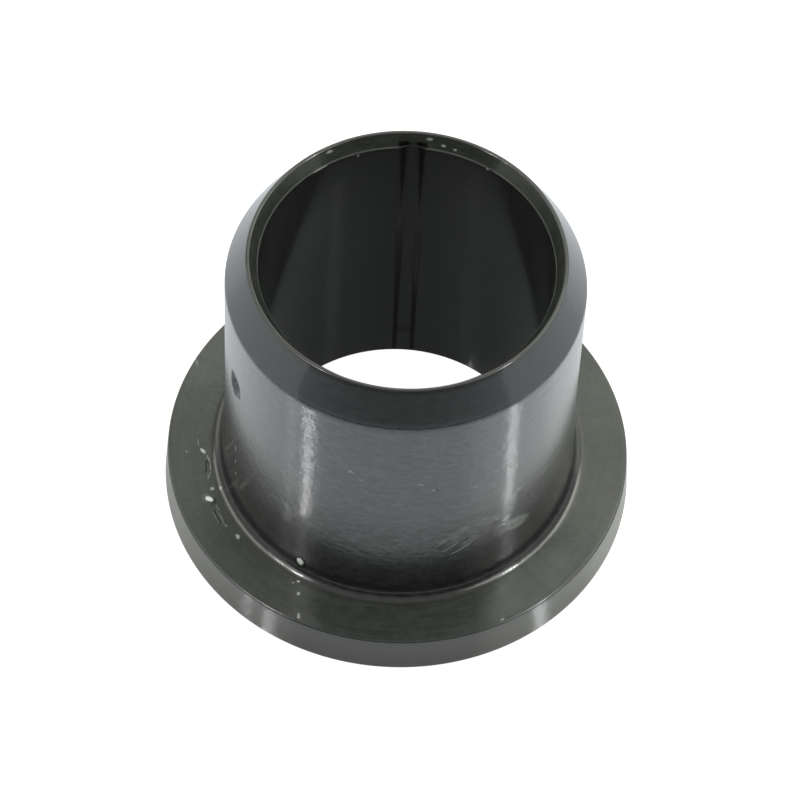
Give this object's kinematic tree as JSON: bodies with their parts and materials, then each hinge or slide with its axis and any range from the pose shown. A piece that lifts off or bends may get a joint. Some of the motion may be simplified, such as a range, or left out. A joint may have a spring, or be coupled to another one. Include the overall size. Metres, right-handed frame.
{
  "type": "flanged bushing",
  "caption": "Plain round bushing of glossy black plastic with a flange at one end, a tapered nose at the other and an axial grease groove in the bore.",
  "frame": {"origin": "centre of the bore at the flange's outer face, on which the bushing stands", "axes": "+Z along the bore axis from the flange to the nose, -Y to the viewer, grease groove on the +Y side"},
  "size_m": [0.0428, 0.0428, 0.0334],
  "materials": {
    "black_plastic": "glossy black moulded plastic, lightly scuffed"
  },
  "bodies": {
    "root": {"flanged_bushing": "black_plastic"}
  },
  "joints": []
}
